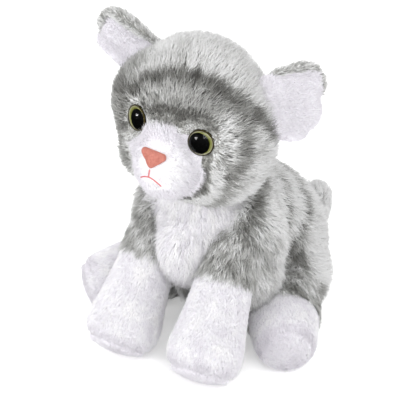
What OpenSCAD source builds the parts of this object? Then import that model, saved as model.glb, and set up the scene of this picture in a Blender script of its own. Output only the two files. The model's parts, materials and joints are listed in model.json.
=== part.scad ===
// Seated plush cat. Millimetres, +Z up. The cat faces -Y and its left side is +X.
// The origin is the middle of the flat seat that it rests on.

/* [Body] */
// Radius of the stuffed rump
rump_r = 38; // [37:0.5:39]
// Height of the middle of the rump above the seat
rump_h = 33; // [32:0.5:35]
// Radius of the stuffed chest
chest_r = 27; // [26:0.5:28]
// Thickness of the plush cloth
cloth = 1.5; // [1:0.25:1.75]
// Radius of the white bib on the chest
bib_r = 24; // [20:0.5:25]
// Radius of the pouch of pellets
pouch_r = 7; // [5:0.5:7.5]

/* [Head] */
// Half width of the head
head_r = 38; // [37:0.5:39]
// Depth of the face in front of the widest ring of the head
face_depth = 22; // [21:0.5:23]
// Depth of the head behind its widest ring
nape_depth = 28; // [26:0.5:29]
// Turn of the head towards the cat's right
head_yaw = 4; // [0:1:10]
// Tilt of the head towards the cat's left shoulder
head_roll = 4; // [0:1:5]
// Radius of the muzzle
muzzle_r = 16; // [15:0.25:17]
// Radius of the stuffed neck joint inside the head
neck_r = 15; // [14:0.25:15.25]

/* [Eyes and nose] */
// Diameter of each eye
eye_d = 12; // [11:0.5:13]
// Distance of each eye from the middle of the face
eye_x = 17; // [16.5:0.5:18.5]
// Height of the eyes above the middle of the head
eye_z = 5.5; // [5:0.5:8]
// Radius of the posts that hold the eyes and the nose
post_r = 1.6; // [1.3:0.1:1.8]
// Thickness of the mouth thread
thread_d = 1.1; // [0.8:0.1:1.3]

/* [Ears and tail] */
// Height of each ear above its root
ear_h = 31; // [28:0.5:33]
// Half width of each ear
ear_w = 15.5; // [12:0.5:16]
// Fold of the left ear, forwards
left_ear_fold = -36; // [-40:1:32]
// Fold of the right ear, forwards
right_ear_fold = 32; // [-40:1:32]
// Thickness of each of the two layers of an ear
ear_layer = 2.1; // [1.8:0.1:2.2]
// Radius of the tail at its root
tail_r = 7; // [6:0.25:7.25]

/* [Legs] */
// Radius of the front leg at the shoulder
shoulder_r = 13; // [12:0.5:13]
// Radius of the front paw
forepaw_r = 17; // [16:0.5:18]
// Radius of the thigh
hip_r = 18; // [16:0.5:18]
// Radius of the hind paw
hindpaw_r = 14.5; // [13:0.5:15]
// How much further out the right hind paw lies than the left one
right_splay = 5.5; // [0:0.5:7]
// Clearance round each joint that moves
gap = 0.4; // [0.35:0.05:0.6]

/* [Hidden] */
$fn = 48;
far = 120;
GREY = "#b9bab6";
WHITE = "#f1f0ef";
FILL = "#e8e4da";
// Joints and the middles of the rounded ends, on the cat's left or middle
rump_c = [0, 0, rump_h];
chest_c = [0, -31, 64];
neck_p = [-1, -39, 80];
head_c = [0, -8, 37]; // middle of the head, from the neck joint
shoulder_p = [20, -43, 58];
forepaw_p = [22.5, -73, forepaw_r + 0.2];
hip_p = [27, -10, 21];
hindpaw_p = [47.5, -42, hindpaw_r + 0.2];
ear_p = [30.5, 6, 17.5]; // root of the ear, from the middle of the head
ear_sweep = 25;
ear_tilt = 72;
ear_twist = -20;
ear_root_r = 4.6;
ear_root_len = 22;
ear_root_gap = 1.6; // room round the root for the ear to fold
ear_root_play = 7;
ear_round_h = 14; // height of the middle of the ear's round outline
torso_top = 77;
// The stalk of filling that joins the neck ball to the torso
stalk_r = 5.5;
stalk_low = 60;
stalk_h = 12;
// Where the hollows for the legs and the tail start: inner side, back and top
shoulder_room = [5, -28, 72];
hip_room = [8.5, hip_p[1], 40.5];
tail_room_low = [-5, 33.5, 6];
tail_room_size = [24, far, 27];
belly_low = [-9, -70, -1];
belly_size = [18, 75, 56];
pouch_p = [0, -9, pouch_r + 3];
pouch_len = 24;
pouch_cloth = 0.6;
sleeve_len = 16;
thigh_len = 24;
sole_cut = 0.5; // share of the paw's radius in front of which the sole starts
muzzle_c = [0, -15.5, -10];
gusset_w = 12;
washer_t = 1.2;
tail_path = [[5, 35, 16], [7, 40, 16.5], [11, 44, 20], [14.5, 46, 26], [17, 46.5, 33],
  [18, 46.5, 41]];

// Points of an arc in the half plane that is turned, about the axis at height c
function arc_points(c, r, from, to, steps) =
  [for (i = [0:steps]) let (t = from + (to - from) * i / steps) [r * cos(t), c + r * sin(t)]];
// Half outline of two balls and the cone that wraps them, the second a length up the axis
function pod_outline(length, r1, r2) =
  let (slope = asin((r1 - r2) / length))
  concat(arc_points(0, r1, -90, slope, 8), arc_points(length, r2, slope, 90, 7));
function side_of(p, side) = [side * p[0], p[1], p[2]];

module pod(length, r1, r2) {
  rotate_extrude() polygon(pod_outline(length, r1, r2));
}

// Turns +Z towards a direction
module look(v) {
  rotate([0, acos(v[2] / norm(v)), atan2(v[1], v[0])]) children();
}

// ---- Torso ----

module torso_form(inset) {
  translate(rump_c) look(chest_c - rump_c)
    pod(norm(chest_c - rump_c), rump_r - inset, chest_r - inset);
}

// Room in the torso for the seat plane, the neck, the legs and the root of the tail
module torso_room() {
  translate([-far / 2, -far / 2, -far]) cube(far);
  translate([-far / 2, -far / 2, torso_top]) cube(far);
  neck_form(gap);
  for (side = [0, 1]) mirror([side, 0, 0]) {
    room_below(shoulder_room);
    room_below(hip_room);
    translate([hip_room[0], hip_p[1], hip_p[2]]) rotate([0, 90, 0]) cylinder(r = hip_r + gap, h = far);
  }
  translate([tail_room_low[0], tail_path[0][1], tail_path[0][2]]) rotate([0, 90, 0])
    cylinder(r = tail_r + gap, h = tail_room_size[0]);
  translate(tail_room_low) cube(tail_room_size);
}

// Everything outward from, in front of and below a corner
module room_below(corner) {
  translate([corner[0], corner[1] - far, -1]) cube([far, far, corner[2] + 1]);
}

module neck_form(grow) {
  translate(neck_p) sphere(neck_r + grow);
  translate([neck_p[0], neck_p[1], stalk_low - grow]) cylinder(r = stalk_r + grow, h = stalk_h);
}

module bib_cut() {
  translate(chest_c) rotate([90, 0, 0]) cylinder(r = bib_r, h = far);
}

module torso_shell() {
  difference() {
    torso_form(0);
    torso_form(cloth);
    torso_room();
  }
}

// The strip of cloth between the legs, below the bib
module belly_cut() {
  translate(belly_low) cube(belly_size);
}

module torso_skin() {
  color(GREY) difference() {
    torso_shell();
    bib_cut();
    belly_cut();
  }
}

module belly_panel() {
  color(GREY) difference() {
    intersection() {
      torso_shell();
      belly_cut();
    }
    bib_cut();
  }
}

module chest_bib() {
  color(WHITE) intersection() {
    torso_shell();
    bib_cut();
  }
}

module seat_panel() {
  color(GREY) difference() {
    torso_form(cloth);
    torso_room();
    translate([-far / 2, -far / 2, cloth]) cube(far);
  }
}

module torso_stuffing() {
  color(FILL) difference() {
    torso_form(cloth);
    torso_room();
    translate([-far / 2, -far / 2, cloth - far]) cube(far);
    pouch_form(0);
  }
}

module pouch_form(inset) {
  translate(pouch_p) rotate([-90, 0, 0]) pod(pouch_len, pouch_r - inset, pouch_r - inset);
}

module pellet_pouch() {
  color("gainsboro") difference() {
    pouch_form(0);
    pouch_form(pouch_cloth);
  }
}

module pellets() {
  color("white") pouch_form(pouch_cloth);
}

module neck_stuffing() {
  color(FILL) neck_form(0);
}

// ---- Head ----

module at_neck() {
  translate(neck_p) rotate([0, head_roll, -head_yaw]) children();
}

module in_head() {
  at_neck() translate(head_c) children();
}

module head_form(inset) {
  r = head_r - inset;
  rotate([90, 0, 0]) rotate_extrude() polygon(concat(
    [for (t = [-90:10:0]) [r * cos(t), (nape_depth - inset) * sin(t)]],
    [for (t = [10:10:90]) [r * cos(t), (face_depth - inset) * sin(t)]]));
}

// Room in the head for the neck, the roots of the ears and the eyes
module head_room() {
  translate(-head_c) sphere(neck_r + gap);
  for (side = [0, 1]) mirror([side, 0, 0]) {
    at_ear() rotate([0, 90, 0])
      cylinder(r = ear_root_r + ear_root_gap, h = ear_root_len + ear_root_play, center = true);
    at_eye() eye_room();
  }
}

module head_shell() {
  difference() {
    head_form(0);
    head_form(cloth);
    head_room();
  }
}

module head_gusset() {
  color(GREY) in_head() intersection() {
    head_shell();
    cube([2 * gusset_w, far, far], center = true);
  }
}

module face_panel(side) {
  color(GREY) in_head() intersection() {
    head_shell();
    translate([side * (gusset_w + far / 2), 0, 0]) cube(far, center = true);
  }
}

module head_stuffing() {
  color(FILL) in_head() difference() {
    head_form(cloth);
    head_room();
  }
}

module muzzle_patch() {
  color(WHITE) in_head() difference() {
    translate(muzzle_c) sphere(muzzle_r);
    translate(muzzle_c) sphere(muzzle_r - cloth);
    head_form(0);
    at_nose() nose_form();
  }
}

module muzzle_stuffing() {
  color(FILL) in_head() difference() {
    translate(muzzle_c) sphere(muzzle_r - cloth);
    head_form(0);
    at_nose() {
      nose_form();
      nose_washer_form();
    }
  }
}

// ---- Nose and mouth ----

nose_lift = 6;
nose_reach = 14.8;
nose_corners = [[2.4, 0], [-1.6, 4.9], [-1.6, -4.9]];
nose_round = 1.7;
nose_back = 0.9; // depth of the back of the nose below the muzzle's surface
nose_thick = 2.4;
nose_post = 3;
nose_washer_r = 4;
nose_washer_at = 3.3; // depth of the back of the washer
corner_steps = 6;

// The face of the nose looks along +Z here, its point is towards +X
module at_nose() {
  translate(muzzle_c) look([0, -nose_reach, nose_lift]) translate([0, 0, muzzle_r]) children();
}

module nose_outline() {
  turn = atan2(nose_corners[1][0] - nose_corners[0][0], nose_corners[1][1] - nose_corners[0][1]);
  starts = [turn, -turn, 180];
  ends = [-turn, 180, 360 + turn];
  polygon([for (i = [0:2]) for (k = [0:corner_steps])
    let (t = starts[i] + (ends[i] - starts[i]) * k / corner_steps)
    nose_corners[i] + nose_round * [cos(t), sin(t)]]);
}

module nose_form() {
  translate([0, 0, -nose_back]) linear_extrude(nose_thick) nose_outline();
  translate([0, 0, -nose_back - nose_post]) cylinder(r = post_r, h = nose_post + nose_thick / 2);
}

module nose_washer_form() {
  translate([0, 0, -nose_washer_at]) cylinder(r = nose_washer_r, h = washer_t);
}

module nose() {
  color("#e08f84") in_head() at_nose() nose_form();
}

module nose_washer() {
  color("white") in_head() at_nose() difference() {
    nose_washer_form();
    nose_form();
  }
}

// The upright stitch, and the one that slants down from it on each side: ends as [x, z]
upright_stitch = [[0, -9.4], [0, -13]];
slanted_stitch = [[0.9, -14.1], [6, -17.4]];
stitch_lift = 0.85;

// A point on the muzzle, just proud of its cloth
function on_muzzle(x, z) =
  let (r = muzzle_r + stitch_lift)
  [x, muzzle_c[1] - sqrt(r * r - x * x - pow(z - muzzle_c[2], 2)), z];

module stitch(ends, side) {
  from = on_muzzle(side * ends[0][0], ends[0][1]);
  to = on_muzzle(side * ends[1][0], ends[1][1]);
  translate(from) look(to - from) pod(norm(to - from), thread_d / 2, thread_d / 2);
}

module mouth_stitching() {
  color("#d98a84") in_head() {
    stitch(upright_stitch, 1);
    for (side = [-1, 1]) stitch(slanted_stitch, side);
  }
}

// ---- Eyes ----

eye_y = -face_depth * sqrt(1 - (eye_x * eye_x + eye_z * eye_z) / (head_r * head_r));
eye_rise = 3.3;
lens_r = (pow(eye_d / 2, 2) + eye_rise * eye_rise) / (2 * eye_rise);
eye_proud = 0.6; // height of the flange's front face above the cloth
flange_t = 1;
shank_len = 10;
disc_t = 0.4; // thickness of the iris and of the pupil
iris_edge = 0.5;
pupil_edge = 2;
eye_washer_r = 5.5;
eye_washer_at = 6.4; // depth of the back of the washer

// The eye looks along +Z here, with the flange's front face at zero
module at_eye() {
  normal = [eye_x / pow(head_r, 2), eye_y / pow(face_depth, 2), eye_z / pow(head_r, 2)];
  translate([eye_x, eye_y, eye_z]) look(normal) translate([0, 0, eye_proud]) children();
}

module eye_room() {
  translate([0, 0, -flange_t]) cylinder(d = eye_d + gap / 2, h = shank_len);
  translate([0, 0, -shank_len]) cylinder(r = post_r, h = shank_len);
  translate([0, 0, -eye_washer_at]) cylinder(r = eye_washer_r, h = washer_t);
}

module eye_shank() {
  color("black") {
    translate([0, 0, -flange_t]) cylinder(d = eye_d, h = flange_t);
    translate([0, 0, -shank_len]) cylinder(r = post_r, h = shank_len - flange_t);
  }
}

module eye_iris() {
  color("olivedrab") cylinder(r = eye_d / 2 - iris_edge, h = disc_t);
}

module eye_pupil() {
  color("black") translate([0, 0, disc_t]) cylinder(r = eye_d / 2 - pupil_edge, h = disc_t);
}

module eye_lens() {
  color([0.9, 0.95, 0.9, 0.4]) difference() {
    intersection() {
      translate([0, 0, eye_rise - lens_r]) sphere(lens_r);
      cylinder(r = eye_d, h = eye_d);
    }
    eye_iris();
    eye_pupil();
  }
}

module eye_washer() {
  color("white") difference() {
    translate([0, 0, -eye_washer_at]) cylinder(r = eye_washer_r, h = washer_t);
    translate([0, 0, -shank_len]) cylinder(r = post_r, h = shank_len);
  }
}

module eye_piece(side) {
  in_head() mirror([side < 0 ? 1 : 0, 0, 0]) at_eye() children();
}

// ---- Ears ----

// The root of the ear lies along X here; unfolded, the ear stands along +Z with its lining at -Y
module at_ear() {
  translate(ear_p) rotate([0, ear_tilt, ear_sweep]) rotate([0, 0, ear_twist]) children();
}

module ear_form() {
  rotate([90, 0, 0]) linear_extrude(2 * ear_layer, center = true)
    polygon(concat([[-ear_root_len / 2, 0], [ear_root_len / 2, 0]], [for (t = [-20:10:200])
      [ear_w * cos(t), ear_round_h + (ear_h - ear_round_h) * sin(t)]]));
  rotate([0, 90, 0]) cylinder(r = ear_root_r, h = ear_root_len, center = true);
}

module ear_piece(side, face) {
  fold = side < 0 ? right_ear_fold : left_ear_fold;
  in_head() mirror([side < 0 ? 1 : 0, 0, 0]) at_ear() rotate([fold, 0, 0]) intersection() {
    ear_form();
    translate([0, face * far / 2, 0]) cube(far, center = true);
  }
}

// ---- Legs ----

// A leg lies along +Z here, with its upper joint at the origin
module along_leg(upper, paw, side) {
  top = side_of(upper, side);
  translate(top) look(side_of(paw, side) - top) children();
}

module leg_shell(upper, paw, r1, r2, from, to) {
  length = norm(paw - upper);
  intersection() {
    difference() {
      pod(length, r1, r2);
      pod(length, r1 - cloth, r2 - cloth);
    }
    translate([0, 0, from]) cylinder(r = far, h = to - from);
  }
}

module foreleg_part(side, from, to) {
  along_leg(shoulder_p, forepaw_p, side)
    leg_shell(shoulder_p, forepaw_p, shoulder_r, forepaw_r, from, to);
}

// Middle of the hind paw, brought to the left side
function hindpaw_at(side) = hindpaw_p + [side < 0 ? right_splay : 0, 0, 0];

module hindleg_part(side, from, to) {
  paw = hindpaw_at(side);
  along_leg(hip_p, paw, side) leg_shell(hip_p, paw, hip_r, hindpaw_r, from, to);
}

foresole_at = norm(forepaw_p - shoulder_p) + sole_cut * forepaw_r;
function hindsole_at(side) = norm(hindpaw_at(side) - hip_p) + sole_cut * hindpaw_r;

module foreleg_sleeve(side) {
  color(GREY) foreleg_part(side, -far, sleeve_len);
}

module forepaw_sock(side) {
  color(WHITE) foreleg_part(side, sleeve_len, foresole_at);
}

module forepaw_sole(side) {
  color(WHITE) foreleg_part(side, foresole_at, far);
}

module foreleg_stuffing(side) {
  color(FILL) along_leg(shoulder_p, forepaw_p, side)
    pod(norm(forepaw_p - shoulder_p), shoulder_r - cloth, forepaw_r - cloth);
}

module thigh(side) {
  color(GREY) hindleg_part(side, -far, thigh_len);
}

module hind_sock(side) {
  color(WHITE) hindleg_part(side, thigh_len, hindsole_at(side));
}

module hind_sole(side) {
  color(WHITE) hindleg_part(side, hindsole_at(side), far);
}

module hind_stuffing(side) {
  paw = hindpaw_at(side);
  color(FILL) along_leg(hip_p, paw, side)
    pod(norm(paw - hip_p), hip_r - cloth, hindpaw_r - cloth);
}

// ---- Tail ----

tail_sides = 12;
tail_turn = 360 / tail_sides;
tail_last = len(tail_path) - 1;

function unit(v) = v / norm(v);
// Direction of the tail at one of the points of its path
function tail_dir(i) = unit(tail_path[min(i + 1, tail_last)] - tail_path[max(i - 1, 0)]);
function tail_ring(p, dir, r) =
  let (u = unit(cross(dir, [1, 0, 0])), v = cross(dir, u))
  [for (k = [0:tail_sides - 1]) p + r * (cos(k * tail_turn) * u + sin(k * tail_turn) * v)];
// One ring at each point of the path, and rings that close the tip roundly
function tail_rings(r) =
  let (b = tail_dir(tail_last), e = tail_path[tail_last])
  concat([for (i = [0:tail_last]) tail_ring(tail_path[i], tail_dir(i), r)],
    [for (t = [24:24:72]) tail_ring(e + r * sin(t) * b, b, r * cos(t))]);
// Rings that close the root roundly
function root_rings(r) =
  let (a = tail_dir(0), s = tail_path[0])
  [for (t = [-72:24:-24]) tail_ring(s + r * sin(t) * a, a, r * cos(t))];

// Faces round n rings of points that start at the given index, and over the last ring
function ring_faces(start, n) = [for (i = [0:n - 2]) for (k = [0:tail_sides - 1]) let (
    j = (k + 1) % tail_sides, here = start + i * tail_sides, next = here + tail_sides)
  each [[here + k, next + k, next + j], [here + k, next + j, here + j]]];
function end_face(start, n) =
  [for (k = [tail_sides - 1:-1:0]) start + (n - 1) * tail_sides + k];
function flipped(faces) = [for (f = faces) [for (k = [len(f) - 1:-1:0]) f[k]]];

// The skin is open at the root, where it is sewn to the torso
module tail_skin() {
  outer = tail_rings(tail_r);
  inner = tail_rings(tail_r - cloth);
  n = len(outer);
  in_at = n * tail_sides;
  rim = [for (k = [0:tail_sides - 1]) let (j = (k + 1) % tail_sides)
    each [[k, j, in_at + j], [k, in_at + j, in_at + k]]];
  color(GREY) polyhedron([for (ring = concat(outer, inner)) each ring],
    concat(ring_faces(0, n), [end_face(0, n)], rim,
      flipped(concat(ring_faces(in_at, n), [end_face(in_at, n)]))));
}

module tail_stuffing() {
  rings = concat(root_rings(tail_r - cloth), tail_rings(tail_r - cloth));
  n = len(rings);
  color(FILL) polyhedron([for (ring = rings) each ring],
    concat([[for (k = [0:tail_sides - 1]) k]], ring_faces(0, n), [end_face(0, n)]));
}

torso_skin();
chest_bib();
belly_panel();
seat_panel();
torso_stuffing();
pellet_pouch();
pellets();
neck_stuffing();
head_gusset();
face_panel(1);  // left_face_panel
face_panel(-1);  // right_face_panel
head_stuffing();
muzzle_patch();
muzzle_stuffing();
nose();
nose_washer();
mouth_stitching();
eye_piece(1) eye_lens();  // left_eye_lens
eye_piece(1) eye_iris();  // left_eye_iris
eye_piece(1) eye_pupil();  // left_eye_pupil
eye_piece(1) eye_shank();  // left_eye_shank
eye_piece(1) eye_washer();  // left_eye_washer
eye_piece(-1) eye_lens();  // right_eye_lens
eye_piece(-1) eye_iris();  // right_eye_iris
eye_piece(-1) eye_pupil();  // right_eye_pupil
eye_piece(-1) eye_shank();  // right_eye_shank
eye_piece(-1) eye_washer();  // right_eye_washer
color(GREY) ear_piece(1, 1);  // left_ear_back
color(WHITE) ear_piece(1, -1);  // left_ear_lining
color(GREY) ear_piece(-1, 1);  // right_ear_back
color(WHITE) ear_piece(-1, -1);  // right_ear_lining
foreleg_sleeve(1);  // left_foreleg_sleeve
forepaw_sock(1);  // left_forepaw_sock
forepaw_sole(1);  // left_forepaw_sole
foreleg_stuffing(1);  // left_foreleg_stuffing
foreleg_sleeve(-1);  // right_foreleg_sleeve
forepaw_sock(-1);  // right_forepaw_sock
forepaw_sole(-1);  // right_forepaw_sole
foreleg_stuffing(-1);  // right_foreleg_stuffing
thigh(1);  // left_thigh
hind_sock(1);  // left_hind_sock
hind_sole(1);  // left_hind_sole
hind_stuffing(1);  // left_hind_stuffing
thigh(-1);  // right_thigh
hind_sock(-1);  // right_hind_sock
hind_sole(-1);  // right_hind_sole
hind_stuffing(-1);  // right_hind_stuffing
tail_skin();
tail_stuffing();
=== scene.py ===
"""Looks of the seated plush cat: padded skins, plush pile, eyes, nose and stitching.

Shapes are worked out in millimetres in the row frame, where the cat faces -Y and its left side is +X,
and become metres when their meshes are made.
"""

import json
import math

import bmesh
import bpy
import numpy as np
from mathutils import Matrix, Vector


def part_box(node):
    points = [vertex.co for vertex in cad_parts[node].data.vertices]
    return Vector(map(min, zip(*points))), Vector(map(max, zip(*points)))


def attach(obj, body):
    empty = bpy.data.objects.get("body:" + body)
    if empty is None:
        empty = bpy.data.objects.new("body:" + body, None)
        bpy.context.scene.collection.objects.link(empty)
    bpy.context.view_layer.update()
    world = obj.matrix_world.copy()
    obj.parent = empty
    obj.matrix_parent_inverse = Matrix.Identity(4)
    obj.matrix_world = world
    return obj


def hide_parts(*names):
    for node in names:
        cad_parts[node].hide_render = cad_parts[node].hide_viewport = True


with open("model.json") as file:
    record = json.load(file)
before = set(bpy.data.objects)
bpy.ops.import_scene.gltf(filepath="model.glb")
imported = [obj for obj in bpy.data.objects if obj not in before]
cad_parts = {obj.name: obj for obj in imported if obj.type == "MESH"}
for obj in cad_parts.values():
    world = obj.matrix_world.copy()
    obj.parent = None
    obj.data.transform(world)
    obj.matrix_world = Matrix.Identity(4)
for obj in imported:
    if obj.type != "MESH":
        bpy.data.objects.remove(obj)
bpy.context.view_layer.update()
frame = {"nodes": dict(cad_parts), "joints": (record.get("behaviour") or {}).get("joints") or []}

MM = 0.001
SCENE = bpy.context.scene
LEFT, RIGHT = 1, -1
SIDES = {"left": LEFT, "right": RIGHT}

# Camera
CAMERA_TARGET = (-9.5, -25, 65)
CAMERA_AZIMUTH = 31
CAMERA_ELEVATION = 29
CAMERA_DISTANCE = 650
CAMERA_LENS = 121.7

# Head, from its joint at the neck
HEAD_OFFSET = (0, -8, 37)
HEAD_ROLL = 4
HEAD_R = 38
FACE_DEPTH = 22
NAPE_DEPTH = 28
MUZZLE_C = (0, -15.5, -10)
MUZZLE_R = 16
NOSE_WAY = (0, -14.8, 6)  # direction of the nose from the middle of the muzzle
GUSSET_W = 12
EAR_SWEEP = 25
EAR_TILT = 72
EAR_TWIST = -20
EAR_FOLD = {"left": -36, "right": 32}

# Padded forms under the pile
RUMP_C = (0, 0, 33)
RUMP_R = 38
CHEST_C = (0, -31, 64)
CHEST_R = 27
NECK_R = 16
CLOTH = 1.5
SHOULDER_R = 13
FOREPAW_R = 17
HIP_R = 18
HINDPAW_R = 14.5
SLEEVE_LENGTH = 16
THIGH_LENGTH = 24
TAIL_R = 7
TAIL_PATH = [(5, 35, 16), (7, 40, 16.5), (11, 44, 20), (14.5, 46, 26), (17, 46.5, 33),
             (18, 46.5, 41)]
REST_Z = 0.4  # lowest point of the cloth, just above the floor
PANEL_FILL, EAR_FILL, TAIL_FILL = 0.8, 0.2, 0.7  # how tightly each kind of cover is stuffed


# ---- Places from the frame ----

def vec(*values):
    return np.array(values, float)


def joint(name):
    return next(j for j in frame["joints"] if j["name"] == name)


def joint_at(name):
    return np.array(joint(name)["pos_m"]) / MM


def turn(axis, degrees):
    return np.array(Matrix.Rotation(math.radians(degrees), 3, axis))


NECK_P = joint_at("head_turn")
HEAD_YAW = -math.degrees(math.atan2(joint("head_nod")["axis"][1], joint("head_nod")["axis"][0]))
HEAD_TURN = turn("Z", -HEAD_YAW) @ turn("Y", HEAD_ROLL)
HEAD_C = NECK_P + HEAD_TURN @ vec(*HEAD_OFFSET)


def from_head(points):
    return np.asarray(points, float) @ HEAD_TURN.T + HEAD_C


def to_head(points):
    return (points - HEAD_C) @ HEAD_TURN


def paw_centre(stuffing, radius, side):
    """Middle of a paw, whose ball of filling touches three sides of its node's box."""
    low, high = (np.array(corner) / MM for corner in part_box(stuffing))
    x = high[0] - radius if side == LEFT else low[0] + radius
    return vec(x, low[1] + radius, low[2] + radius)


# ---- Numbers over points ----

def ramp(low, high, values):
    t = np.clip((values - low) / (high - low), 0, 1)
    return t * t * (3 - 2 * t)


def band(values, centre, half_width, soft):
    """1 within half_width of centre, falling to 0 over soft."""
    return 1 - ramp(half_width, half_width + soft, np.abs(values - centre))


def unit(vectors):
    return vectors / np.maximum(np.linalg.norm(vectors, axis=-1, keepdims=True), 1e-9)


def near(points, path):
    """Distance from each point to a line through the points of a path."""
    path = np.asarray(path, float)
    best = np.full(len(points), np.inf)
    for a, b in zip(path[:-1], path[1:]):
        t = np.clip((points - a) @ (b - a) / ((b - a) @ (b - a)), 0, 1)[:, None]
        best = np.minimum(best, np.linalg.norm(points - a - t * (b - a), axis=1))
    return best


def mix(a, b, share):
    return a + (b - a) * share


def striped(points, value, stripes, seed, centre, reach):
    """Paints stripes, each a shade, a half width, a softness and a path, with ragged edges.

    Points and paths are first drawn onto a ball, so that the depth of the pile doesn't matter.
    """
    def on_ball(q):
        return vec(*centre) + reach * unit(np.asarray(q, float) - centre)

    ragged = 0.8 * wobble(points, 6, seed) + 0.4 * wobble(points, 2.5, seed + 1)
    ball_points = on_ball(points)
    for shade, width, soft, path in stripes:
        cover = 1 - ramp(width, width + soft, near(ball_points, on_ball(path)) + ragged)
        value = mix(value, shade, cover)
    return value


def mirrored(points):
    """The same points with all of them brought to the cat's left."""
    return points * np.where(points[:, :1] < 0, [[-1, 1, 1]], [[1, 1, 1]])


def wobble(points, size, seed):
    """Smooth noise from about -1 to 1 with features of the given size."""
    rng = np.random.default_rng(seed)
    waves = unit(rng.normal(size=(9, 3))) * (2 * np.pi / size) * rng.uniform(0.6, 1.5, (9, 1))
    return np.sin(points @ waves.T + rng.uniform(0, 2 * np.pi, 9)).sum(1) / 3


# ---- Skins: balls joined by a remesh, then padded out as cloth ----

def ball(centre, radii, turned=None):
    radii = (radii,) * 3 if np.isscalar(radii) else radii
    turned = np.eye(3) if turned is None else turned
    return Matrix.Translation(centre) @ Matrix(turned).to_4x4() @ Matrix.Diagonal((*radii, 1))


def chain(start, end, r_start, r_end, count=7):
    """Balls along a line whose radii change evenly."""
    start, end = np.asarray(start, float), np.asarray(end, float)
    return [
        ball(start + (end - start) * t, r_start + (r_end - r_start) * t)
        for t in np.linspace(0, 1, count)
    ]


def applied(obj):
    """Applies the modifiers of an object."""
    graph = bpy.context.evaluated_depsgraph_get()
    mesh = bpy.data.meshes.new_from_object(obj.evaluated_get(graph))
    obj.modifiers.clear()
    old, obj.data = obj.data, mesh
    bpy.data.meshes.remove(old)
    return obj


def coords(obj):
    co = np.empty(len(obj.data.vertices) * 3)
    obj.data.vertices.foreach_get("co", co)
    return co.reshape(-1, 3)


def set_coords(obj, co):
    obj.data.vertices.foreach_set("co", np.ascontiguousarray(co).ravel())
    obj.data.update()


def normals(obj):
    out = np.empty(len(obj.data.vertices) * 3)
    obj.data.vertex_normals.foreach_get("vector", out)
    return out.reshape(-1, 3)


def skin(name, balls, voxel=2.5, smoothing=6):
    """One closed mesh of even quads round all the balls."""
    bm = bmesh.new()
    for matrix in balls:
        bmesh.ops.create_icosphere(bm, subdivisions=5, radius=1, matrix=matrix)
    mesh = bpy.data.meshes.new(name)
    bm.to_mesh(mesh)
    bm.free()
    obj = bpy.data.objects.new(name, mesh)
    SCENE.collection.objects.link(obj)
    remesh = obj.modifiers.new("remesh", "REMESH")
    remesh.mode = "VOXEL"
    remesh.voxel_size = voxel
    soften = obj.modifiers.new("soften", "SMOOTH")
    soften.factor = 0.5
    soften.iterations = smoothing
    return applied(obj)


SWELL = {"torso": 1.5, "head": 1.5, "leg": 1.2, "tail": 0.8}  # most that the filling pushes out
SEAM_WIDTH = 3.0  # distance from a seam within which the cloth is held
SIM_SCALE = 0.01  # cloth is simulated at ten times the toy's size, where its forces work well
SIM_FRAMES = 20


def pad(obj, seam_distance, swell):
    """Swells a skin with cloth under pressure, held at its seams, by at most swell."""
    start = coords(obj)
    held = obj.vertex_groups.new(name="held")
    for i, w in enumerate(1 - ramp(0.3 * SEAM_WIDTH, SEAM_WIDTH, seam_distance(start))):
        if w > 0:
            held.add([i], float(w), "REPLACE")
    set_coords(obj, start * SIM_SCALE)
    cloth = obj.modifiers.new("cloth", "CLOTH").settings
    cloth.quality = 5
    cloth.vertex_group_mass = "held"
    cloth.use_pressure = True
    cloth.uniform_pressure_force = 4
    cloth.effector_weights.gravity = 0
    for number in range(1, SIM_FRAMES + 1):
        SCENE.frame_set(number)
    applied(obj)
    SCENE.frame_set(1)
    move = coords(obj) / SIM_SCALE - start
    length = np.linalg.norm(move, axis=1, keepdims=True)
    set_coords(obj, start + move * np.minimum(1, swell / np.maximum(length, 1e-9)))
    return obj


def refine(obj):
    """Divides each quad into four."""
    sub = obj.modifiers.new("refine", "SUBSURF")
    sub.levels = sub.render_levels = 1
    return applied(obj)


def groove(obj, distance, depth, width):
    """Pulls a skin in along a seam."""
    co = coords(obj)
    pull = depth * np.exp(-((distance(co) / width) ** 2))
    set_coords(obj, co - normals(obj) * pull[:, None])
    return obj


# ---- Pieces: parts of a skin as meshes in metres ----

def mesh_object(name, points, faces):
    mesh = bpy.data.meshes.new(name)
    mesh.from_pydata((np.asarray(points) * MM).tolist(), [], faces)
    mesh.polygons.foreach_set("use_smooth", [True] * len(mesh.polygons))
    obj = bpy.data.objects.new(name, mesh)
    SCENE.collection.objects.link(obj)
    return obj


class Cover:
    """A part of a skin: its points in millimetres, normals and triangles, for growing pile on."""

    def __init__(self, points, point_normals, faces):
        used = np.unique(np.concatenate(faces))
        new_index = np.full(len(points), -1)
        new_index[used] = np.arange(len(used))
        self.points = points[used]
        self.normals = point_normals[used]
        self.faces = [new_index[list(f)].tolist() for f in faces]
        self.triangles = np.array(
            [(f[0], f[i], f[i + 1]) for f in self.faces for i in range(1, len(f) - 1)]
        )
        self.corners = [self.points[self.triangles[:, i]] for i in range(3)]
        a, b, c = self.corners
        self.areas = np.linalg.norm(np.cross(b - a, c - a), axis=1) / 2


def split(obj, label_of):
    """Covers by label, where label_of gives one for each face's middle; the skin itself goes."""
    points, point_normals = coords(obj), normals(obj)
    faces = [tuple(p.vertices) for p in obj.data.polygons]
    middles = np.array([points[list(f)].mean(0) for f in faces])
    labels = label_of(middles)
    covers = {}
    for label in dict.fromkeys(labels.tolist()):
        chosen = [f for f, l in zip(faces, labels) if l == label]
        covers[label] = Cover(points, point_normals, chosen)
    bpy.data.objects.remove(obj)
    return covers


def cover_piece(name, cover, body, plush, fill, *nodes):
    slot, backing, _ = plush
    obj = mesh_object(name, cover.points, cover.faces)
    obj.data.materials.append(backing)
    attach(obj, body)
    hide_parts(*nodes)


# ---- Materials ----

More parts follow.
